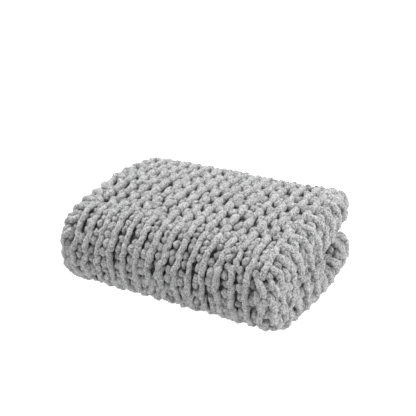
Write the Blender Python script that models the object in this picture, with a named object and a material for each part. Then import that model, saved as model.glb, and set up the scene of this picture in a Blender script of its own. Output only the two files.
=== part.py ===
"""A chunky knit throw blanket, folded into a long, soft bundle.

The throw is doubled end to end, closed in thirds from its two sides, and the long
packet is then turned over on itself.  The last turn is the full, round front of the
bundle.  The ends of the packet show as two round lobes, one above the other.

Metres, +Z up.  The origin is under the middle of the bundle, on the floor.  X runs
along the bundle, the round front faces -Y and the open back faces +Y.
"""

import math
from collections import namedtuple

import bmesh
import bpy

# The packet: three doubled layers of knit, a little apart.
STACK_FRONT = 0.0755
STACK_LOFT = 0.0040
LOFT_RUN = 0.130
LAYER_GAP = 0.0026

# The last turn, seen from the end: flat below, round in front, crowned on top.
TURN_RADIUS = 0.0790
TURN_Y = -0.0860
BOTTOM_BACK_Y = 0.1505
TOP_BACK_Y = 0.1525

# The side turns are a little squarer than a circle, from the weight on them.
TURN_SQUARENESS = 2.35

# How far the sides of the packet fall away towards its two ends.
END_DROP = 0.0070
END_DROP_POWER = 3.0

# Height of the upper side from the front turn to the back.
Crest = namedtuple("Crest", "y height")
CRESTS = (
    Crest(-0.0860, 0.1580),
    Crest(-0.0440, 0.1625),
    Crest(0.0010, 0.1655),
    Crest(0.0510, 0.1665),
    Crest(0.1010, 0.1645),
    Crest(0.1525, 0.1590),
)

# Reach of the packet to each side, along the way from the lower back to the upper back.
Reach = namedtuple("Reach", "place way left right")
REACHES = (
    Reach("lower back", 0.00, 0.2145, 0.2195),
    Reach("lower middle", 0.18, 0.2205, 0.2255),
    Reach("lower front", 0.34, 0.2205, 0.2165),
    Reach("front", 0.50, 0.2185, 0.2095),
    Reach("upper front", 0.66, 0.2215, 0.2145),
    Reach("upper middle", 0.82, 0.2250, 0.2185),
    Reach("upper back", 1.00, 0.2195, 0.2145),
)

# Soft hollows in the upper side and the front, and one swell of negative depth.
Hollow = namedtuple("Hollow", "x way half_x half_way depth")
HOLLOWS = (
    Hollow(-0.150, 0.74, 0.060, 0.10, 0.004),
    Hollow(0.120, 0.70, 0.050, 0.12, 0.003),
    Hollow(0.010, 0.56, 0.070, 0.08, 0.003),
    Hollow(0.190, 0.95, 0.055, 0.12, -0.005),
)

# How finely the faceted solid follows the cloth.
RUN_STEPS = 7
WIDE_TURN_STEPS = 8
NARROW_TURN_STEPS = 6
EDGE_STEPS = 4
LEG_STATIONS = 7
TURN_STATIONS = 12
ROUNDED_STATIONS = 3

YARN_GREY = (0.40, 0.40, 0.41, 1.0)


def smooth_between(rows, key, column, at):
    """Read a column of a table between its rows, on a curve through all of them."""
    places = [getattr(row, key) for row in rows]
    values = [getattr(row, column) for row in rows]
    at = min(max(at, places[0]), places[-1])
    index = 0
    while index < len(rows) - 2 and at > places[index + 1]:
        index += 1

    def slope(i):
        low = max(i - 1, 0)
        high = min(i + 1, len(rows) - 1)
        return (values[high] - values[low]) / (places[high] - places[low])

    span = places[index + 1] - places[index]
    t = (at - places[index]) / span
    start = values[index] * (2 * t**3 - 3 * t**2 + 1) + span * slope(index) * (t**3 - 2 * t**2 + t)
    end = values[index + 1] * (3 * t**2 - 2 * t**3) + span * slope(index + 1) * (t**3 - t**2)
    return start + end


def leg_lengths():
    """Lengths of the lower side, the front turn and the upper side."""
    return BOTTOM_BACK_Y - TURN_Y, math.pi * TURN_RADIUS, TOP_BACK_Y - TURN_Y


def outer_skin(way):
    """Point of the outer skin and the inward direction, both as (y, z)."""
    lower, turn, upper = leg_lengths()
    run = way * (lower + turn + upper)
    if run <= lower:
        return (BOTTOM_BACK_Y - run, 0.0), (0.0, 1.0)
    if run < lower + turn:
        angle = (run - lower) / TURN_RADIUS
        y = TURN_Y - TURN_RADIUS * math.sin(angle)
        z = TURN_RADIUS * (1.0 - math.cos(angle))
        return (y, z), (math.sin(angle), math.cos(angle))
    y = TURN_Y + run - lower - turn
    return (y, smooth_between(CRESTS, "y", "height", y)), (0.0, -1.0)


def ease(value):
    """Rise smoothly from 0 to 1."""
    value = min(max(value, 0.0), 1.0)
    return value * value * (3.0 - 2.0 * value)


def upper_share(way):
    """0 on the flat lower side, 1 on the upper side, changing over the front turn."""
    lower, turn, upper = leg_lengths()
    run = way * (lower + turn + upper)
    return ease((run - lower) / turn)


def lower_stack(y):
    """Thickness of the lower layers, which loosen towards the back."""
    return STACK_FRONT + STACK_LOFT * ease((y - TURN_Y) / LOFT_RUN)


def stack_depth(way):
    """Thickness of the three doubled layers at this station."""
    (y, height), _ = outer_skin(way)
    lower, turn, upper = leg_lengths()
    run = way * (lower + turn + upper)
    if run <= lower:
        return lower_stack(y)
    if run < lower + turn:
        return STACK_FRONT
    return height - lower_stack(y) - 2 * (TURN_RADIUS - STACK_FRONT)


def hollow_depth(x, way):
    """Depth of the soft hollows at one point of the outer skin."""
    depth = 0.0
    for hollow in HOLLOWS:
        far_x = (x - hollow.x) / hollow.half_x
        far_way = (way - hollow.way) / hollow.half_way
        depth += hollow.depth * math.exp(-far_x * far_x - far_way * far_way)
    return depth


def squared(value):
    """Push a sine or cosine outwards, which turns a circle into a squarer curve."""
    return math.copysign(abs(value) ** (2 / TURN_SQUARENESS), value)


def arc_points(centre, radius, start, end, steps):
    """Points on a round turn, without its first and last point; angles in degrees."""
    points = []
    for step in range(1, steps):
        angle = math.radians(start + (end - start) * step / steps)
        across = centre[0] + radius * squared(math.cos(angle))
        points.append((across, centre[1] + radius * squared(math.sin(angle))))
    return points


def run_points(start, end, depth):
    """Evenly spaced points along one straight side of a layer."""
    return [(start + (end - start) * step / RUN_STEPS, depth) for step in range(RUN_STEPS + 1)]


def packet_outline(left, right, stack, fullness):
    """Closed outline of the three layers, as (x, depth); fullness thins it at the edges.

    The outer layer turns in at both sides.  Its right side comes back as the innermost
    layer, and its left side as the middle one, which ends inside the right turn.
    """
    layer = (stack - 2 * LAYER_GAP) / 3
    pitch = layer + LAYER_GAP
    half = fullness * layer / 2
    outer = layer / 2
    middle = outer + pitch
    inner = middle + pitch
    right_x = right - pitch - layer / 2
    left_x = -left + pitch / 2 + layer / 2
    free_x = -left + layer
    outline = run_points(free_x, right_x, inner + half)
    outline += arc_points((right_x, middle), pitch + half, 90, -90, WIDE_TURN_STEPS)
    outline += run_points(right_x, left_x, outer - half)
    outline += arc_points((left_x, (outer + middle) / 2), pitch / 2 + half, -90, -270, NARROW_TURN_STEPS)
    outline += run_points(left_x, right_x, middle + half)
    outline += arc_points((right_x, middle), half, 90, -90, EDGE_STEPS)
    outline += run_points(right_x, left_x, middle - half)
    outline += arc_points((left_x, (outer + middle) / 2), pitch / 2 - half, 90, 270, NARROW_TURN_STEPS)
    outline += run_points(left_x, right_x, outer + half)
    outline += arc_points((right_x, middle), pitch - half, -90, 90, WIDE_TURN_STEPS)
    outline += run_points(right_x, free_x, inner - half)
    outline += arc_points((free_x, inner), half, -90, -270, EDGE_STEPS)
    return outline


def stations():
    """Way along the fold, distance past its end and fullness of the layers there."""
    lower, turn, upper = leg_lengths()
    total = lower + turn + upper
    ways = [lower * step / LEG_STATIONS for step in range(LEG_STATIONS)]
    ways += [lower + turn * step / TURN_STATIONS for step in range(TURN_STATIONS)]
    ways += [lower + turn + upper * step / LEG_STATIONS for step in range(LEG_STATIONS + 1)]
    rows = [(way / total, 0.0, 1.0) for way in ways]
    before = []
    after = []
    for step in range(1, ROUNDED_STATIONS + 1):
        angle = math.radians(80.0 * step / ROUNDED_STATIONS)
        past = STACK_FRONT / 6 * math.sin(angle)
        before.insert(0, (0.0, past, math.cos(angle)))
        after.append((1.0, past, math.cos(angle)))
    return before + rows + after


def place(x, depth, way, past):
    """World position of one point of the outline at one station."""
    (y, z), (in_y, in_z) = outer_skin(way)
    reach = 0.5 * (smooth_between(REACHES, "way", "left", way) + smooth_between(REACHES, "way", "right", way))
    stack = stack_depth(way)
    drop = END_DROP * min(abs(x) / reach, 1.0) ** END_DROP_POWER + hollow_depth(x, way)
    drop *= upper_share(way)
    inward = drop + depth * (stack - drop) / stack
    return (x, y + in_y * inward + past, z + in_z * inward)


def fold_blanket():
    """Sweep the packet's outline round the last turn into one closed solid."""
    mesh = bpy.data.meshes.new("folded_blanket")
    shape = bmesh.new()
    rings = []
    for way, past, fullness in stations():
        left = smooth_between(REACHES, "way", "left", way)
        right = smooth_between(REACHES, "way", "right", way)
        outline = packet_outline(left, right, stack_depth(way), fullness)
        rings.append([shape.verts.new(place(x, depth, way, past)) for x, depth in outline])
    count = len(rings[0])
    for ring, following in zip(rings, rings[1:]):
        for index in range(count):
            other = (index + 1) % count
            shape.faces.new((ring[index], ring[other], following[other], following[index]))
    shape.faces.new(rings[0])
    shape.faces.new(rings[-1])
    bmesh.ops.recalc_face_normals(shape, faces=shape.faces)
    bmesh.ops.triangulate(shape, faces=shape.faces)
    shape.to_mesh(mesh)
    shape.free()
    mesh.shade_smooth()
    return mesh


def knit_material():
    """Plush grey chenille."""
    material = bpy.data.materials.new("grey_chenille")
    material.use_nodes = True
    shader = material.node_tree.nodes["Principled BSDF"]
    shader.inputs["Base Color"].default_value = YARN_GREY
    shader.inputs["Roughness"].default_value = 0.95
    shader.inputs["Metallic"].default_value = 0.0
    return material


for old in list(bpy.data.objects):
    bpy.data.objects.remove(old, do_unlink=True)

blanket = bpy.data.objects.new("folded_blanket", fold_blanket())
blanket.data.materials.append(knit_material())
bpy.context.scene.collection.objects.link(blanket)
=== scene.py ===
"""Looks of a chunky knit throw, folded into a long, soft bundle.

Metres, +Z up.  X runs along the bundle, the round front faces -Y and the open back +Y.
"""

import math
import random
from collections import namedtuple

import bmesh
import bpy
import numpy as np
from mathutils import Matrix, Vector, noise


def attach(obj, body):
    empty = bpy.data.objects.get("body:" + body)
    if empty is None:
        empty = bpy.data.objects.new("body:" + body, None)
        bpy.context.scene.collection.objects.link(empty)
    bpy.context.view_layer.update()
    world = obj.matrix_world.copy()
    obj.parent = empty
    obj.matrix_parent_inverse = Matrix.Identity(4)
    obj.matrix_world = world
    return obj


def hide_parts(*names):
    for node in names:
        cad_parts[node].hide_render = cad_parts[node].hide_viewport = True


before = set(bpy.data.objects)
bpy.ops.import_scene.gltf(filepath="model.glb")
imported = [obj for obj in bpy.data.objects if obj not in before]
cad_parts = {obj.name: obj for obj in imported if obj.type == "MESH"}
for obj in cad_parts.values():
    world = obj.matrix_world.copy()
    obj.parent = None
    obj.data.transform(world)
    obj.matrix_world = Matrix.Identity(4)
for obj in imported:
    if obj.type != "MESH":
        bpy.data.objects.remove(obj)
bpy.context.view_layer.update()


# ----------------------------------------------------------------------------- the knit
# One throw of thick plush chenille yarn, knitted by hand: each row is one yarn, drawn
# in loops through the row before.  It is doubled end to end, closed in thirds from its
# two sides and turned over on itself, and nothing but its own weight holds the folds.

# The packet of three doubled layers, a little apart, which loosen towards the back.
STACK_FRONT = 0.0755
STACK_LOFT = 0.0040
LOFT_RUN = 0.130
LAYER_GAP = 0.0026

# The last turn, seen from the end: flat below, round in front, crowned on top.
TURN_RADIUS = 0.0790
TURN_Y = -0.0860
BOTTOM_BACK_Y = 0.1505
TOP_BACK_Y = 0.1525
LEG_GAP = TURN_RADIUS - STACK_FRONT

# Lengths along the face: the lower side, the front turn, the upper side, all of it.
LOWER_RUN = BOTTOM_BACK_Y - TURN_Y
TURN_RUN = math.pi * TURN_RADIUS
UPPER_RUN = TOP_BACK_Y - TURN_Y
PATH_RUN = LOWER_RUN + TURN_RUN + UPPER_RUN

# Height of the upper side from the front turn to the back.
Crest = namedtuple("Crest", "y height")
CRESTS = (
    Crest(-0.0860, 0.1580),
    Crest(-0.0440, 0.1625),
    Crest(0.0010, 0.1655),
    Crest(0.0510, 0.1665),
    Crest(0.1010, 0.1645),
    Crest(0.1525, 0.1590),
)

# Reach of the packet to each side, along the way from the lower back to the upper back.
Reach = namedtuple("Reach", "place way left right")
REACHES = (
    Reach("lower back", 0.00, 0.2145, 0.2195),
    Reach("lower middle", 0.18, 0.2205, 0.2255),
    Reach("lower front", 0.34, 0.2205, 0.2165),
    Reach("front", 0.50, 0.2185, 0.2095),
    Reach("upper front", 0.66, 0.2215, 0.2145),
    Reach("upper middle", 0.82, 0.2310, 0.2185),
    Reach("upper back", 1.00, 0.2300, 0.2145),
)


def smooth_between(rows, key, column, at):
    """Read a column of a table between its rows, on a curve through all of them."""
    places = [getattr(row, key) for row in rows]
    values = [getattr(row, column) for row in rows]
    at = min(max(at, places[0]), places[-1])
    index = 0
    while index < len(rows) - 2 and at > places[index + 1]:
        index += 1

    def slope(i):
        low = max(i - 1, 0)
        high = min(i + 1, len(rows) - 1)
        return (values[high] - values[low]) / (places[high] - places[low])

    span = places[index + 1] - places[index]
    t = (at - places[index]) / span
    leaving = span * slope(index) * (t**3 - 2 * t**2 + t)
    arriving = span * slope(index + 1) * (t**3 - t**2)
    start = values[index] * (2 * t**3 - 3 * t**2 + 1) + leaving
    end = values[index + 1] * (3 * t**2 - 2 * t**3) + arriving
    return start + end


def ease(value):
    """Rise smoothly from 0 to 1."""
    value = min(max(value, 0.0), 1.0)
    return value * value * (3.0 - 2.0 * value)


def lower_stack(y):
    """Thickness of the lower layers, which loosen towards the back."""
    return STACK_FRONT + STACK_LOFT * ease((y - TURN_Y) / LOFT_RUN)


# One place along the face: where the outer skin is, which way is inwards, how thick the
# layers are together, how far they reach to each side, 1 for the upper side and 0 for
# the lower one, and the share of the whole way.
Station = namedtuple("Station", "y z in_y in_z stack left right upper way")


def station(run):
    """The packet at one distance along its face, from the lower back."""
    run = min(max(run, 0.0), PATH_RUN)
    way = run / PATH_RUN
    sides = (
        smooth_between(REACHES, "way", "left", way),
        smooth_between(REACHES, "way", "right", way),
    )
    upper = ease((run - LOWER_RUN) / TURN_RUN)
    if run <= LOWER_RUN:
        y = BOTTOM_BACK_Y - run
        return Station(y, 0.0, 0.0, 1.0, lower_stack(y), *sides, upper, way)
    if run < LOWER_RUN + TURN_RUN:
        angle = (run - LOWER_RUN) / TURN_RADIUS
        in_y, in_z = math.sin(angle), math.cos(angle)
        y = TURN_Y - TURN_RADIUS * in_y
        z = TURN_RADIUS * (1.0 - in_z)
        return Station(y, z, in_y, in_z, STACK_FRONT, *sides, upper, way)
    y = TURN_Y + run - LOWER_RUN - TURN_RUN
    height = smooth_between(CRESTS, "y", "height", y)
    stack = height - lower_stack(y) - 2 * LEG_GAP
    return Station(y, height, 0.0, -1.0, stack, *sides, upper, way)


# Soft hollows in the upper side and the front, and one swell of negative depth.
Hollow = namedtuple("Hollow", "x way half_x half_way depth")
HOLLOWS = (
    Hollow(-0.150, 0.74, 0.060, 0.10, 0.004),
    Hollow(0.120, 0.70, 0.050, 0.12, 0.003),
    Hollow(0.010, 0.56, 0.070, 0.08, 0.003),
    Hollow(0.190, 0.95, 0.055, 0.12, -0.009),
)


def hollow_depth(x, way):
    """Depth of the soft hollows at one point of the outer skin."""
    depth = 0.0
    for hollow in HOLLOWS:
        far_x = (x - hollow.x) / hollow.half_x
        far_way = (way - hollow.way) / hollow.half_way
        depth += hollow.depth * math.exp(-far_x * far_x - far_way * far_way)
    return depth


# How far the top and the front fall away towards the two ends of the bundle.
END_DROP = 0.0070
END_DROP_POWER = 3.0

# At the right the two round ends part towards the back: the upper one sags over a small
# pocket in the lower one, and at the very back the parting rises again.
POCKET_X = 0.160
POCKET_REACH = 0.035
POCKET_Y = 0.060
POCKET_HALF_Y = 0.032
POCKET_Z = 0.068
POCKET_HALF_Z = 0.015
POCKET_DEPTH = 0.036
PARTING_Z = 0.084
PARTING_HALF_Z = 0.036
PARTING_SAG = 0.025
PARTING_RISE = 0.006
RISE_Y = 0.095
RISE_REACH = 0.050


def place(x, depth, here, past):
    """Position of a point that lies so deep in the packet, and so far past its end."""
    reach = 0.5 * (here.left + here.right)
    drop = END_DROP * min(abs(x) / reach, 1.0) ** END_DROP_POWER
    drop = (drop + hollow_depth(x, here.way)) * here.upper
    inward = drop + depth * (here.stack - drop) / here.stack
    y = here.y + here.in_y * inward + past
    z = here.z + here.in_z * inward
    if x > POCKET_X:
        near = ease((x - POCKET_X) / POCKET_REACH)
        sag = math.exp(-(((y - POCKET_Y) / POCKET_HALF_Y) ** 2))
        rise = PARTING_RISE * ease((y - RISE_Y) / RISE_REACH)
        at_pocket = math.exp(-(((z - POCKET_Z) / POCKET_HALF_Z) ** 2))
        at_parting = math.exp(-(((z - PARTING_Z) / PARTING_HALF_Z) ** 2))
        x -= near * POCKET_DEPTH * sag * at_pocket
        z -= near * (PARTING_SAG * sag - rise) * at_parting
    return Vector((x, y, z))


# The pile is given painted shade where it is shut in, at the bottom of the pocket.
POCKET_FLOOR_Z = 0.063
POCKET_FLOOR_HALF = 0.010


def pocket_shade(position):
    """How far one place is shut in at the bottom of the pocket, from 0 to 1."""
    x, y, z = position
    if x < POCKET_X:
        return 0.0
    far_y = (y - POCKET_Y) / POCKET_HALF_Y
    far_z = (z - POCKET_FLOOR_Z) / POCKET_FLOOR_HALF
    return math.exp(-far_y * far_y - far_z * far_z)


# The side turns are a little squarer than a circle, from the weight on them.
TURN_SQUARENESS = 2.35


def squared(value):
    """Push a sine or cosine outwards, which turns a circle into a squarer curve."""
    return math.copysign(abs(value) ** (2 / TURN_SQUARENESS), value)


# A side turn of unit radius, walked by its length: the angle from its middle line.
TURN_STEPS = 180
TURN_ANGLES = np.linspace(-math.pi / 2, math.pi / 2, TURN_STEPS + 1)
TURN_DIRECTIONS = [(math.cos(angle), math.sin(angle)) for angle in TURN_ANGLES]
TURN_POINTS = np.array([(squared(x), squared(y)) for x, y in TURN_DIRECTIONS])
TURN_STRIDES = np.linalg.norm(np.diff(TURN_POINTS, axis=0), axis=1)
TURN_WALK = np.concatenate(([0.0], np.cumsum(TURN_STRIDES)))
TURN_LENGTH = TURN_WALK[-1]


def on_turn(walk):
    """Point and outward direction on a unit turn, at a share of its length."""
    length = min(max(walk, 0.0), 1.0) * TURN_LENGTH
    angle = float(np.interp(length, TURN_WALK, TURN_ANGLES))
    out = (math.cos(angle), math.sin(angle))
    return (squared(out[0]), squared(out[1])), out


# Near the front the two round ends at the right lie shut against each other.
SHUT_Y = 0.014
SHUT_FADE = 0.022


def under_face(from_middle, here, inset):
    """Point under the face, as (x, depth), so far across the face from its middle.

    The face runs over the outer layer, round the wide turn at the right and back on the
    innermost layer; at the left it goes round the narrow turn to the middle layer.
    """
    shut = 1.0 - ease((here.y - SHUT_Y) / SHUT_FADE)
    layer = (here.stack - 2 * LAYER_GAP) / 3
    pitch = layer + LAYER_GAP
    right_x = here.right - pitch - layer / 2
    left_x = -here.left + pitch / 2 + layer / 2
    wide = pitch + layer / 2
    narrow = pitch / 2 + layer / 2
    if from_middle > right_x:
        past = from_middle - right_x
        turn, out = on_turn(past / (wide * TURN_LENGTH))
        back = max(past - wide * TURN_LENGTH, 0.0)
        x = right_x + wide * turn[0] - inset * out[0] - back
        depth = wide + wide * turn[1] - inset * out[1]
        down = past - wide * TURN_LENGTH / 2
        if down > 0.0:
            wall = min(down, wide + LEG_GAP)
            x += shut * (right_x + wide - inset - (down - wall) - x)
            depth += shut * (wide + wall - depth)
        return x, depth
    if from_middle < left_x:
        past = left_x - from_middle
        turn, out = on_turn(past / (narrow * TURN_LENGTH))
        back = max(past - narrow * TURN_LENGTH, 0.0)
        x = left_x - narrow * turn[0] + inset * out[0] + back
        return x, narrow + narrow * turn[1] - inset * out[1]
    return from_middle, inset


# On the round back ends no yarn lies deeper than this share of their radius.
BACK_DEEPEST = 0.8


def on_face(from_middle, run, inset):
    """Position under the face of the cloth, which also wraps over the back ends."""
    here = station(run)
    half = (here.stack - 2 * LAYER_GAP) / 6
    over = max(-run, run - PATH_RUN, 0.0)
    if over == 0.0:
        x, depth = under_face(from_middle, here, inset)
        return place(x, depth, here, 0.0)
    inset = min(inset, BACK_DEEPEST * half)
    angle = min(over / half, math.pi)
    x, depth = under_face(from_middle, here, half - (half - inset) * math.cos(angle))
    return place(x, depth, here, (half - inset) * math.sin(angle))


# The stitches.  Each is a loop with crossed legs: one leg lies on the face, and the
# rest shows between the columns as beads.  The tables give the points that its yarn
# passes: across in columns, along in rows, depth in millimetres, size in yarn radii.
COLUMN = 0.0258
ROW = 0.0345
MILLIMETRE = 0.001
LoopPoint = namedtuple("LoopPoint", "part across along depth size")

# On the top the legs are leaf-shaped and stand proud, with holes beside them.
TOP_RADIUS = 0.0060
TOP_LOOP = (
    LoopPoint("bridge", -0.47, 0.06, 3.9, 1.20),
    LoopPoint("under the last loop", -0.24, -0.04, 12.5, 0.90),
    LoopPoint("foot of the leg", 0.00, 0.06, 9.5, 0.88),
    LoopPoint("lower leg", -0.02, 0.20, 3.2, 1.06),
    LoopPoint("leg", -0.01, 0.46, -1.0, 1.36),
    LoopPoint("upper leg", 0.01, 0.76, 0.5, 1.02),
    LoopPoint("tip of the leg", 0.01, 0.93, 7.6, 0.58),
    LoopPoint("head, right", -0.08, 1.06, 12.5, 0.90),
    LoopPoint("head", -0.24, 1.02, 15.0, 0.90),
    LoopPoint("head, left", -0.38, 0.76, 15.0, 0.90),
    LoopPoint("shoulder", -0.47, 0.30, 3.9, 1.20),
    LoopPoint("back leg", -0.35, 0.30, 9.0, 0.90),
    LoopPoint("crossing", 0.00, 0.34, 13.0, 0.90),
    LoopPoint("back leg, foot", 0.34, 0.22, 10.0, 0.90),
)

# On the front the legs run into each other as long cords, with beads between them.
# These loops are full round the middle of the front and fade out at their reach.
FRONT_RADIUS = 0.0055
FRONT_RUN = LOWER_RUN + 0.42 * TURN_RUN
FRONT_REACH = 0.71 * TURN_RUN
FRONT_LOOP = (
    LoopPoint("bridge", -0.50, 0.14, 3.0, 1.16),
    LoopPoint("under the last loop", -0.36, -0.04, 10.0, 0.90),
    LoopPoint("foot of the leg", -0.05, 0.00, 2.6, 0.96),
    LoopPoint("lower leg", -0.03, 0.26, 0.3, 1.00),
    LoopPoint("leg", 0.00, 0.50, 0.0, 1.02),
    LoopPoint("upper leg", 0.02, 0.76, 0.2, 1.00),
    LoopPoint("tip of the leg", 0.03, 1.00, 2.6, 0.94),
    LoopPoint("head, right", 0.03, 1.14, 9.5, 0.90),
    LoopPoint("head", -0.12, 1.12, 13.0, 0.90),
    LoopPoint("head, left", -0.35, 0.94, 9.5, 0.95),
    LoopPoint("shoulder", -0.46, 0.66, 3.4, 1.22),
    LoopPoint("back leg", -0.36, 0.44, 10.0, 0.90),
    LoopPoint("crossing", 0.00, 0.36, 13.5, 0.90),
    LoopPoint("back leg, foot", 0.34, 0.28, 10.5, 0.90),
)

# On the two ends of the bundle the legs hang upright, leaning a little to the front.
# These loops start, are full and stop again at such distances from the middle of the
# cloth, and where they are full the rows slant by a share of their length.
END_HANG_Y = -0.34
END_HANG_Z = 0.94
END_STARTS = 0.178
END_FULL = 0.208
END_STOPS = 0.300
END_FADE = 0.030
END_SHEAR = 0.30
END_LOOP = (
    LoopPoint("bridge", 0.52, 0.30, 5.0, 1.16),
    LoopPoint("under the last loop", 0.30, 0.05, 7.5, 1.00),
    LoopPoint("foot of the leg", -0.02, -0.04, 2.2, 1.02),
    LoopPoint("lower leg", 0.00, 0.24, 0.4, 1.14),
    LoopPoint("leg", 0.00, 0.50, -0.4, 1.20),
    LoopPoint("upper leg", 0.00, 0.76, 0.4, 1.12),
    LoopPoint("tip of the leg", 0.00, 1.02, 2.2, 0.98),
    LoopPoint("head, right", -0.06, 1.18, 9.0, 0.90),
    LoopPoint("head", -0.18, 1.16, 10.5, 0.90),
    LoopPoint("head, left", -0.31, 0.96, 7.5, 1.00),
    LoopPoint("shoulder", -0.52, 0.74, 5.0, 1.16),
    LoopPoint("back leg", -0.50, 0.46, 9.5, 1.00),
    LoopPoint("crossing", -0.25, 0.40, 13.0, 0.90),
    LoopPoint("back leg, foot", 0.20, 0.80, 12.5, 0.90),
)


def hang_angle(side, run):
    """Angle, in the cloth, from the column to the upright direction on one end."""
    here = station(run)
    inward = END_HANG_Y * here.in_y + END_HANG_Z * here.in_z
    along = END_HANG_Z * here.in_y - END_HANG_Y * here.in_z
    angle = math.atan2(along, math.copysign(1.0, side) * inward) - math.pi / 2
    return (angle + math.pi / 2) % math.pi - math.pi / 2


# How much hand-made stitches differ from each other, as standard deviations.  Beads
# wander more than legs, and all of them wander a little more on the front.
LEAN_SPREAD = 0.13
PLUMP_SPREAD = 0.08
LIFT_SPREAD = 0.0006
END_SPREAD = 0.011
WANDER_SPREAD = 0.0010
FRONT_WANDER = 0.0004
SINK_SPREAD = 0.4
THICKNESS_SPREAD = 0.03
BEADS = ("bridge", "shoulder")
BEAD_WANDER = 1.4
BEAD_SINK_SPREAD = 0.8
BEAD_SIZE_SPREAD = 0.07

# Whole patches of the knit drift together, out of line with the rows and columns.
DRIFT = 0.0055
DRIFT_SCALE = 12.0
DRIFT_SLICE = 3.7
noise.seed_set(7)

# The middle of a yarn lies at least this share of its radius under the face.
SHALLOWEST = 0.95


def stitch_points(centre, middle, front, radius, dice, turned):
    """The points that the yarn of one stitch passes, as (across, along, depth, radius).

    The stitch has its middle so far across the cloth and along it.  It is shaped as on
    the ends of the bundle where it lies on them, or anywhere if turned is 1.
    """
    lean = dice.gauss(0.0, LEAN_SPREAD)
    plump = dice.gauss(0.0, PLUMP_SPREAD)
    lift = dice.gauss(0.0, LIFT_SPREAD)
    out = abs(centre) + dice.gauss(0.0, END_SPREAD)
    end = ease((out - END_STARTS) / (END_FULL - END_STARTS))
    end = max(end * (1.0 - ease((out - END_STOPS) / END_FADE)), turned)
    slanting = min(max(abs(centre) - END_FULL, 0.0), END_STOPS - END_FULL)
    shear = END_SHEAR * end * slanting
    turn = end * hang_angle(-1.0 if turned else centre, middle)
    high = math.hypot(ROW * math.cos(turn), COLUMN * math.sin(turn))
    wide = math.hypot(COLUMN * math.cos(turn), ROW * math.sin(turn))
    points = []
    for on_top, on_front, on_end in zip(TOP_LOOP, FRONT_LOOP, END_LOOP):
        flat = [t + (f - t) * front for t, f in zip(on_top[1:], on_front[1:])]
        shaped = [f + (e - f) * end for f, e in zip(flat, on_end[1:])]
        across, along, depth, size = shaped
        across = wide * (across + lean * (along - 0.5))
        along = high * (along - 0.5)
        size *= radius * (1.0 + plump)
        wander = WANDER_SPREAD + FRONT_WANDER * front
        sink = SINK_SPREAD
        if on_top.part in BEADS:
            wander *= BEAD_WANDER
            sink = BEAD_SINK_SPREAD
            size *= 1.0 + dice.gauss(0.0, BEAD_SIZE_SPREAD)
        if end > 0.0:
            across, along = (
                across * math.cos(turn) - along * math.sin(turn),
                across * math.sin(turn) + along * math.cos(turn),
            )
        across = centre + across + dice.gauss(0.0, wander)
        along = middle + along + dice.gauss(0.0, wander)
        patch = Vector((across * DRIFT_SCALE, along * DRIFT_SCALE, DRIFT_SLICE))
        drift = noise.noise_vector(patch)
        across += DRIFT * drift.x
        along += DRIFT * drift.y + shear
        depth = MILLIMETRE * (depth + dice.gauss(0.0, sink)) + lift + radius
        thickness = size * (1.0 + dice.gauss(0.0, THICKNESS_SPREAD))
        points.append((across, along, max(depth, size * SHALLOWEST), thickness))
    return points


def between(before, start, end, after, t):
    """Point on a smooth curve from start to end, at a share t of the way."""
    return 0.5 * (
        2 * start
        + (end - before) * t
        + (2 * before - 5 * start + 4 * end - after) * t * t
        + (3 * start - before - 3 * end + after) * t**3
    )


# How many lengths of yarn go from each point of a loop to the next, and how close two
# points of a yarn may be.
LOOP_STEPS = (3, 2, 3, 4, 4, 3, 3, 2, 2, 3, 3, 2, 2, 3)
CLOSEST = 0.0002

# A yarn counts as fully sunk when it lies this much deeper than one at the face.
SUNK_DEPTH = 0.010

YarnPoint = namedtuple("YarnPoint", "position radius sunk")


def row_strand(middle, centres, dice, surface, turned=0.0):
    """The yarn of one row, with a stitch at each of the centres across the cloth."""
    front = 1.0 - ease(abs(middle - FRONT_RUN) / FRONT_REACH * 2.0 - 1.0)
    radius = TOP_RADIUS + (FRONT_RADIUS - TOP_RADIUS) * front
    points = []
    for centre in centres:
        points += stitch_points(centre, middle, front, radius, dice, turned)
    points = np.array(points)
    strand = []
    for index in range(len(points) - 1):
        before = points[max(index - 1, 0)]
        start, end = points[index], points[index + 1]
        after = points[min(index + 2, len(points) - 1)]
        steps = LOOP_STEPS[index % len(LOOP_STEPS)]
        for step in range(steps):
            share = step / steps
            across, along, depth, size = between(before, start, end, after, share)
            position = surface(across, along, depth)
            if not strand or (position - strand[-1].position).length > CLOSEST:
                # How far the yarn's grey is darkened as painted shade: its depth in the
                # knit, plus the pocket's painted shade.
                sunk = (depth - radius) / SUNK_DEPTH + pocket_shade(position)
                strand.append(YarnPoint(position, size, sunk))
    return strand


# The yarn is round and has this many faces round it.
YARN_SIDES = 12


def yarn_piece(name, strands):
    """Join the strands into one mesh of round yarns, which notes how sunk they are."""
    curve = bpy.data.curves.new(name, "CURVE")
    curve.dimensions = "3D"
    curve.bevel_depth = 1.0
    curve.bevel_resolution = YARN_SIDES // 2 - 2
    for strand in strands:
        spline = curve.splines.new("POLY")
        spline.points.add(len(strand) - 1)
        for point, yarn_point in zip(spline.points, strand):
            point.co = (*yarn_point.position, 1.0)
            point.radius = yarn_point.radius
    guide = bpy.data.objects.new(name + "_line", curve)
    bpy.context.scene.collection.objects.link(guide)
    bpy.context.view_layer.update()
    tubes = guide.evaluated_get(bpy.context.evaluated_depsgraph_get())
    mesh = bpy.data.meshes.new_from_object(tubes)
    bpy.data.objects.remove(guide)
    bpy.data.curves.remove(curve)
    mesh.name = name
    shape = bmesh.new()
    shape.from_mesh(mesh)
    layer = shape.verts.layers.float.new("sunk")
    points = [point for strand in strands for point in strand]
    sunk = [point.sunk for point in points for _ in range(YARN_SIDES)]
    for vert, value in zip(shape.verts, sunk, strict=True):
        vert[layer] = value
    open_edges = [edge for edge in shape.edges if edge.is_boundary]
    bmesh.ops.holes_fill(shape, edges=open_edges)
    shape.to_mesh(mesh)
    shape.free()
    piece = bpy.data.objects.new(name, mesh)
    bpy.context.scene.collection.objects.link(piece)
    return piece
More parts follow.
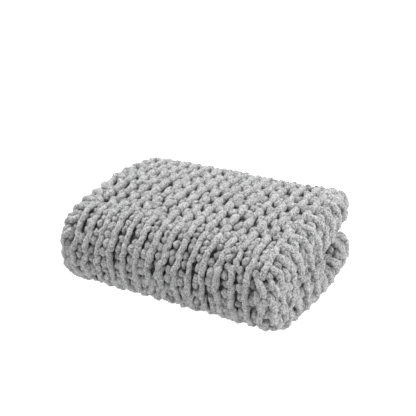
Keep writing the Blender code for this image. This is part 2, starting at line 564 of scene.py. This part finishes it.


# Deep in the knit the pile gets less light, which is painted into its grey as painted
# shade: between these two amounts of sinking the grey falls from all of itself to the
# share that is left.  It is a slightly cool grey.
SHADE_STARTS = 0.40
SHADE_FULL = 1.00
SHADE_LEFT = 0.15
COOL = 1.01


def chenille(name, hollow, tip):
    """Short plush pile: matt grey with a soft sheen, painted darker between its tufts
    as painted shade.
    """
    material = bpy.data.materials.new(name)
    material.use_nodes = True
    nodes = material.node_tree.nodes
    links = material.node_tree.links
    shader = nodes["Principled BSDF"]
    shader.inputs["Roughness"].default_value = 0.95
    shader.inputs["Specular IOR Level"].default_value = 0.15
    shader.inputs["Sheen Weight"].default_value = 0.25
    shader.inputs["Sheen Roughness"].default_value = 0.5

    where = nodes.new("ShaderNodeTexCoord")
    tufts = nodes.new("ShaderNodeTexNoise")
    tufts.inputs["Scale"].default_value = 380.0
    tufts.inputs["Detail"].default_value = 4.0
    tufts.inputs["Roughness"].default_value = 0.65
    links.new(where.outputs["Object"], tufts.inputs["Vector"])
    # The grey follows the same noise as the bump, so the hollows between the tufts are
    # painted darker as painted shade.
    grey = nodes.new("ShaderNodeValToRGB")
    grey.color_ramp.elements[0].position = 0.41
    grey.color_ramp.elements[0].color = (hollow, hollow, COOL * hollow, 1.0)
    grey.color_ramp.elements[1].position = 0.58
    grey.color_ramp.elements[1].color = (tip, tip, COOL * tip, 1.0)
    links.new(tufts.outputs["Fac"], grey.inputs["Fac"])

    # Painted shade: the grey is darkened where the yarn lies sunk in the knit and at
    # the bottom of the pocket.
    sunk = nodes.new("ShaderNodeAttribute")
    sunk.attribute_name = "sunk"
    light_left = nodes.new("ShaderNodeMapRange")
    light_left.inputs["From Min"].default_value = SHADE_STARTS
    light_left.inputs["From Max"].default_value = SHADE_FULL
    light_left.inputs["To Min"].default_value = 1.0
    light_left.inputs["To Max"].default_value = SHADE_LEFT
    links.new(sunk.outputs["Fac"], light_left.inputs["Value"])
    shaded = nodes.new("ShaderNodeVectorMath")
    shaded.operation = "SCALE"
    links.new(grey.outputs["Color"], shaded.inputs[0])
    links.new(light_left.outputs["Result"], shaded.inputs["Scale"])
    links.new(shaded.outputs["Vector"], shader.inputs["Base Color"])

    bump = nodes.new("ShaderNodeBump")
    bump.inputs["Strength"].default_value = 0.9
    bump.inputs["Distance"].default_value = 0.0060
    links.new(tufts.outputs["Fac"], bump.inputs["Height"])
    links.new(bump.outputs["Normal"], shader.inputs["Normal"])
    return material


# The plush stands out from the yarn in soft lumps and small tufts.
PILE_LUMPS = 190.0
PILE_LUMP_HEIGHT = 0.0013
PILE_TUFT_HEIGHT = 0.00050
PILE_SEEDS = 10000


def finish_yarn(piece, material, dice):
    """Give a piece of yarn its lumpy pile, its finish and its place on the blanket."""
    mesh = piece.data
    count = len(mesh.vertices)
    places = np.empty(count * 3)
    mesh.vertices.foreach_get("co", places)
    places = places.reshape(-1, 3)
    outward = np.empty(count * 3)
    mesh.vertex_normals.foreach_get("vector", outward)
    outward = outward.reshape(-1, 3)
    lumps = np.array([noise.noise(Vector(p) * PILE_LUMPS) for p in places])
    tufts = np.random.RandomState(dice.randrange(PILE_SEEDS)).normal(0.0, 1.0, count)
    swell = PILE_LUMP_HEIGHT * lumps + PILE_TUFT_HEIGHT * tufts
    places += outward * swell[:, None]
    mesh.vertices.foreach_set("co", places.ravel())
    mesh.materials.clear()
    mesh.materials.append(material)
    mesh.shade_smooth()
    mesh.update()
    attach(piece, "root")
    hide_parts("folded_blanket")


# All of the unevenness is thrown with these dice, which fall alike in each run.
dice = random.Random(7)

# Where the rows and columns are counted from, along the face and across it.
ROW_START = 0.440
COLUMN_START = 0.0013


def columns(first, last):
    """Centres of the stitches across the cloth, from one column to another."""
    return [COLUMN_START + COLUMN * column for column in range(first, last + 1)]


# The columns that a row of the outer face has.  On the front turn, away from its two
# edges, the ends of the bundle leave less room, so every other row there is shorter.
FACE_COLUMNS = (-12, 12)
SHORT_COLUMNS = (-9, 9)
TURN_MARGIN = 0.03


def face_rows(first, last):
    """The rows of the outer face, from one row to another."""
    strands = []
    for row in range(first, last + 1):
        middle = ROW_START + ROW * (row + 0.5)
        turning = LOWER_RUN + TURN_MARGIN < middle < LOWER_RUN + TURN_RUN - TURN_MARGIN
        reach = SHORT_COLUMNS if turning and row % 2 else FACE_COLUMNS
        strands.append(row_strand(middle, columns(*reach), dice, on_face))
    return strands


# The back ends of the layers, below and above, are rounded over by one long row each,
# which follows the layers round their side turns.  They lie open to the light, so only
# a share of their sinking counts towards their painted shade.
BACK_COLUMNS = (-25, 26)
BACK_RUNS = (-0.0175, PATH_RUN + 0.0105)
BACK_SUNK_SHARE = 0.35


def back_rows():
    """The rows that go over the round back ends of the layers."""
    strands = []
    for middle in BACK_RUNS:
        strand = []
        for point in row_strand(middle, columns(*BACK_COLUMNS), dice, on_face):
            strand.append(point._replace(sunk=BACK_SUNK_SHARE * point.sunk))
        strands.append(strand)
    return strands


# At the left the innermost layer ends in a free side edge, between the two side turns.
# It has rows of two stitches, along both legs of the packet and twice round the turn.
EDGE_COLUMN = 0.0190
EDGE_ROWS = 9
EDGE_FROM_BACK = 0.012
EDGE_TURN_SHARES = (0.25, 0.75)


def on_side_edge(around, run, inset):
    """Position under the surface of the innermost layer's free side edge."""
    here = station(run)
    layer = (here.stack - 2 * LAYER_GAP) / 3
    half = layer / 2
    middle = here.stack - half
    angle = min(max(around / half, -math.pi / 2), math.pi / 2)
    beyond = max(abs(around) - half * math.pi / 2, 0.0)
    x = -here.left + layer - (half - inset) * math.cos(angle) + beyond
    return place(x, middle + (half - inset) * math.sin(angle), here, 0.0)


def side_edge_rows():
    """Short rows over the innermost layer's free side edge, all along the packet."""
    pitch = (LOWER_RUN - EDGE_FROM_BACK) / EDGE_ROWS
    from_turn = [pitch * (step + 0.5) for step in range(EDGE_ROWS)]
    middles = [LOWER_RUN - distance for distance in from_turn]
    middles += [LOWER_RUN + TURN_RUN * share for share in EDGE_TURN_SHARES]
    middles += [LOWER_RUN + TURN_RUN + distance for distance in from_turn]
    around = (-EDGE_COLUMN / 2, EDGE_COLUMN / 2)
    return [row_strand(middle, around, dice, on_side_edge, 1.0) for middle in middles]


# The rows are worked from the underside round the front to the top, then the edges.
Band = namedtuple("Band", "name first_row last_row")
BANDS = (
    Band("knit_underside", -13, -9),
    Band("knit_lower_front", -8, -4),
    Band("knit_upper_front", -3, 1),
    Band("knit_top", 2, 7),
)
knit = [(band.name, face_rows(band.first_row, band.last_row)) for band in BANDS]
knit.append(("knit_back_ends", back_rows() + side_edge_rows()))

yarn = chenille("grey_chenille_yarn", hollow=0.22, tip=0.61)
for name, strands in knit:
    piece = yarn_piece(name, strands)
    finish_yarn(piece, yarn, dice)


# ---------------------------------------------------------- the cloth inside the folds
# The body of the same panel of chenille knit, one yarn below the loops of its outer
# rows, which are worked in one with it.  It runs through the same folds, each doubled
# layer as a hollow band, and shows only in the holes of the knit and in the partings.

# How far its surface lies inside the outer face, the turns, the innermost layer, the
# free side edge and the back ends, and how far apart its bands lie.
CORE_INSET = 0.0150
CORE_TURN_INSET = 0.0080
CORE_INNER_INSET = 0.0030
CORE_EDGE_INSET = 0.0080
CORE_BACK_INSET = 0.0080
CORE_GAP = 0.0026
CORE_THICKNESS = 0.0030

# Where the two round ends lie shut, the core closes this share of their parting.
CORE_SHUT_SHARE = 0.95

# How finely the sheet follows the folds: on a straight side, on the outside and inside
# of the wide turn, and on the tight turns and edges.
STRAIGHT_STEPS = 30
OUTSIDE_STEPS = 14
INSIDE_STEPS = 12
TIGHT_STEPS = 8


def arc_points(centre, radius, start, end, steps):
    """Points on a round turn, without its first and last point; angles in degrees."""
    points = []
    for step in range(1, steps):
        angle = math.radians(start + (end - start) * step / steps)
        x = centre[0] + radius * squared(math.cos(angle))
        points.append((x, centre[1] + radius * squared(math.sin(angle))))
    return points


def run_points(start, end, depth):
    """Evenly spaced points along one straight side of a layer."""
    steps = range(STRAIGHT_STEPS + 1)
    return [(start + (end - start) * step / STRAIGHT_STEPS, depth) for step in steps]


def core_outline(here, fullness):
    """Closed outline of the doubled layers inside the outer loops, as (x, depth)."""
    shut = 1.0 - ease((here.y - SHUT_Y) / SHUT_FADE)
    layer = (here.stack - 2 * LAYER_GAP) / 3
    turned_in = 2 * layer + LAYER_GAP - CORE_TURN_INSET
    band = (turned_in - CORE_INSET - CORE_GAP) / 2
    outer = CORE_INSET + band / 2
    middle = turned_in - band / 2
    near = here.stack - layer + CORE_INNER_INSET
    closed = CORE_SHUT_SHARE * shut * (CORE_INNER_INSET + LEG_GAP)
    far = here.stack - CORE_INNER_INSET + closed
    inner = (near + far) / 2
    half = fullness * band / 2
    inner_half = fullness * (far - near) / 2
    narrow = (middle - outer) / 2
    right_x = here.right - CORE_INSET - (far - CORE_INSET) / 2
    left_x = -here.left + CORE_INSET + narrow + band / 2
    free_x = -here.left + layer / 2 + CORE_EDGE_INSET + (far - near) / 2
    over = (outer - half, inner + inner_half)
    under = (outer + half, inner - inner_half)
    over_centre, over_radius = (right_x, sum(over) / 2), (over[1] - over[0]) / 2
    under_centre, under_radius = (right_x, sum(under) / 2), (under[1] - under[0]) / 2
    left_centre = (left_x, outer + narrow)
    outline = run_points(free_x, right_x, inner + inner_half)
    outline += arc_points(over_centre, over_radius, 90, -90, OUTSIDE_STEPS)
    outline += run_points(right_x, left_x, outer - half)
    outline += arc_points(left_centre, narrow + half, -90, -270, INSIDE_STEPS)
    outline += run_points(left_x, right_x, middle + half)
    outline += arc_points((right_x, middle), half, 90, -90, TIGHT_STEPS)
    outline += run_points(right_x, left_x, middle - half)
    outline += arc_points(left_centre, narrow - half, 90, 270, TIGHT_STEPS)
    outline += run_points(left_x, right_x, outer + half)
    outline += arc_points(under_centre, under_radius, -90, 90, INSIDE_STEPS)
    outline += run_points(right_x, free_x, inner - inner_half)
    outline += arc_points((free_x, inner), inner_half, -90, -270, TIGHT_STEPS)
    return outline


# Distance between two stations, and the round ends: how far they stand out, and the
# angles at which they are drawn, up to where the bands all but close.
CORE_STEP = 0.012
CORE_END_LENGTH = 0.007
CORE_END_ANGLES = (25, 50, 75, 88)


def core_stations():
    """Distance along the face, distance past it and fullness of the layers there."""
    steps = round(PATH_RUN / CORE_STEP)
    length = PATH_RUN - 2 * CORE_BACK_INSET
    runs = [CORE_BACK_INSET + length * step / steps for step in range(steps + 1)]
    ends = []
    for degrees in CORE_END_ANGLES:
        angle = math.radians(degrees)
        ends.append((CORE_END_LENGTH * math.sin(angle), math.cos(angle)))
    before = [(CORE_BACK_INSET, past, fullness) for past, fullness in reversed(ends)]
    after = [(PATH_RUN - CORE_BACK_INSET, past, fullness) for past, fullness in ends]
    return before + [(run, 0.0, 1.0) for run in runs] + after


def cloth_core():
    """Bridge the outlines of the layers, one after another, into one thin sheet."""
    mesh = bpy.data.meshes.new("blanket_cloth")
    shape = bmesh.new()
    last_ring = None
    for run, past, fullness in core_stations():
        here = station(run)
        outline = core_outline(here, fullness)
        verts = [shape.verts.new(place(x, depth, here, past)) for x, depth in outline]
        ring = [shape.edges.new(pair) for pair in zip(verts, verts[1:] + verts[:1])]
        if last_ring:
            bmesh.ops.bridge_loops(shape, edges=last_ring + ring)
        last_ring = ring
    bmesh.ops.recalc_face_normals(shape, faces=shape.faces)
    shape.to_mesh(mesh)
    shape.free()
    mesh.shade_smooth()
    piece = bpy.data.objects.new("blanket_cloth", mesh)
    bpy.context.scene.collection.objects.link(piece)
    solid = piece.modifiers.new("thickness", "SOLIDIFY")
    solid.thickness = CORE_THICKNESS
    solid.offset = -1.0
    return piece


core = cloth_core()
# The inside is the same chenille with a far darker grey: painted shade for the deep
# pile seen through the holes of the knit.
core.data.materials.append(chenille("chenille_inside_painted_shade", hollow=0.03, tip=0.22))
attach(core, "root")
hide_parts("folded_blanket")


# ---------------------------------------------------------------------------- the floor
# A plain pale sheet of matt paper, laid flat under the blanket and far out past it.  It
# glows by itself, so that it stays an even white around the soft shadow.

FLOOR_SIZE = 12.0

floor_mesh = bpy.data.meshes.new("floor")
shape = bmesh.new()
bmesh.ops.create_grid(shape, x_segments=1, y_segments=1, size=FLOOR_SIZE / 2)
shape.to_mesh(floor_mesh)
shape.free()
floor = bpy.data.objects.new("floor", floor_mesh)
bpy.context.scene.collection.objects.link(floor)
floor_paper = bpy.data.materials.new("pale_floor_paper")
floor_paper.use_nodes = True
floor_shader = floor_paper.node_tree.nodes["Principled BSDF"]
floor_shader.inputs["Base Color"].default_value = (0.35, 0.35, 0.35, 1.0)
floor_shader.inputs["Roughness"].default_value = 0.9
floor_shader.inputs["Emission Color"].default_value = (1.0, 1.0, 1.0, 1.0)
floor_shader.inputs["Emission Strength"].default_value = 1.0
floor_mesh.materials.append(floor_paper)


# --------------------------------------------------------------------------- the lights
# Two round softboxes on stands, at the left and at the right, and a wide panel
# overhead, all turned to the blanket, in a white room that fills the shadows.

Lamp = namedtuple("Lamp", "name x y z size power")
LAMPS = (
    Lamp("left_softbox", -1.6, 0.2, 1.3, 1.2, 30.0),
    Lamp("right_softbox", 1.7, 0.3, 0.9, 1.2, 29.0),
)
LAMP_AIM = Vector((0.0, 0.0, 0.06))
PANEL_AIM = Vector((0.25, -0.20, -1.0))
ROOM_LIGHT = 0.48

for lamp in LAMPS:
    light = bpy.data.lights.new(lamp.name, "AREA")
    light.shape = "DISK"
    light.size = lamp.size
    light.energy = lamp.power
    softbox = bpy.data.objects.new(lamp.name, light)
    softbox.location = (lamp.x, lamp.y, lamp.z)
    aim = LAMP_AIM - softbox.location
    softbox.rotation_euler = aim.to_track_quat("-Z", "Y").to_euler()
    bpy.context.scene.collection.objects.link(softbox)

sun = bpy.data.lights.new("overhead_panel", "SUN")
sun.angle = math.radians(40.0)
sun.energy = 3.0
panel = bpy.data.objects.new("overhead_panel", sun)
panel.rotation_euler = PANEL_AIM.to_track_quat("-Z", "Y").to_euler()
bpy.context.scene.collection.objects.link(panel)

# The white of the room is seen in full, and lights the blanket with a share of it.
room = bpy.data.worlds.new("studio")
room.use_nodes = True
nodes = room.node_tree.nodes
links = room.node_tree.links
lighting = nodes["Background"]
lighting.inputs["Color"].default_value = (1.0, 1.0, 1.0, 1.0)
lighting.inputs["Strength"].default_value = ROOM_LIGHT
seen = nodes.new("ShaderNodeBackground")
seen.inputs["Color"].default_value = (1.0, 1.0, 1.0, 1.0)
seen.inputs["Strength"].default_value = 1.0
ray = nodes.new("ShaderNodeLightPath")
pick = nodes.new("ShaderNodeMixShader")
links.new(ray.outputs["Is Camera Ray"], pick.inputs["Fac"])
links.new(lighting.outputs["Background"], pick.inputs[1])
links.new(seen.outputs["Background"], pick.inputs[2])
links.new(pick.outputs["Shader"], nodes["World Output"].inputs["Surface"])
bpy.context.scene.world = room
bpy.context.scene.view_settings.view_transform = "Standard"


# --------------------------------------------------------------------------- the camera
# A camera with a long lens, on a stand before the right half of the front.  It is
# turned to the left and looks down on the bundle, with everything in focus.

CAMERA_PLACE = (0.637, -1.140, 0.713)
CAMERA_TURN = math.radians(29.1)
CAMERA_DOWN = math.radians(23.6)
CAMERA_LENS = 69.23
CAMERA_SENSOR = 36.0

lens = bpy.data.cameras.new("camera")
lens.sensor_width = CAMERA_SENSOR
lens.lens = CAMERA_LENS
camera = bpy.data.objects.new("camera", lens)
camera.location = CAMERA_PLACE
camera.rotation_euler = (math.pi / 2 - CAMERA_DOWN, 0.0, CAMERA_TURN)
bpy.context.scene.collection.objects.link(camera)
bpy.context.scene.camera = camera
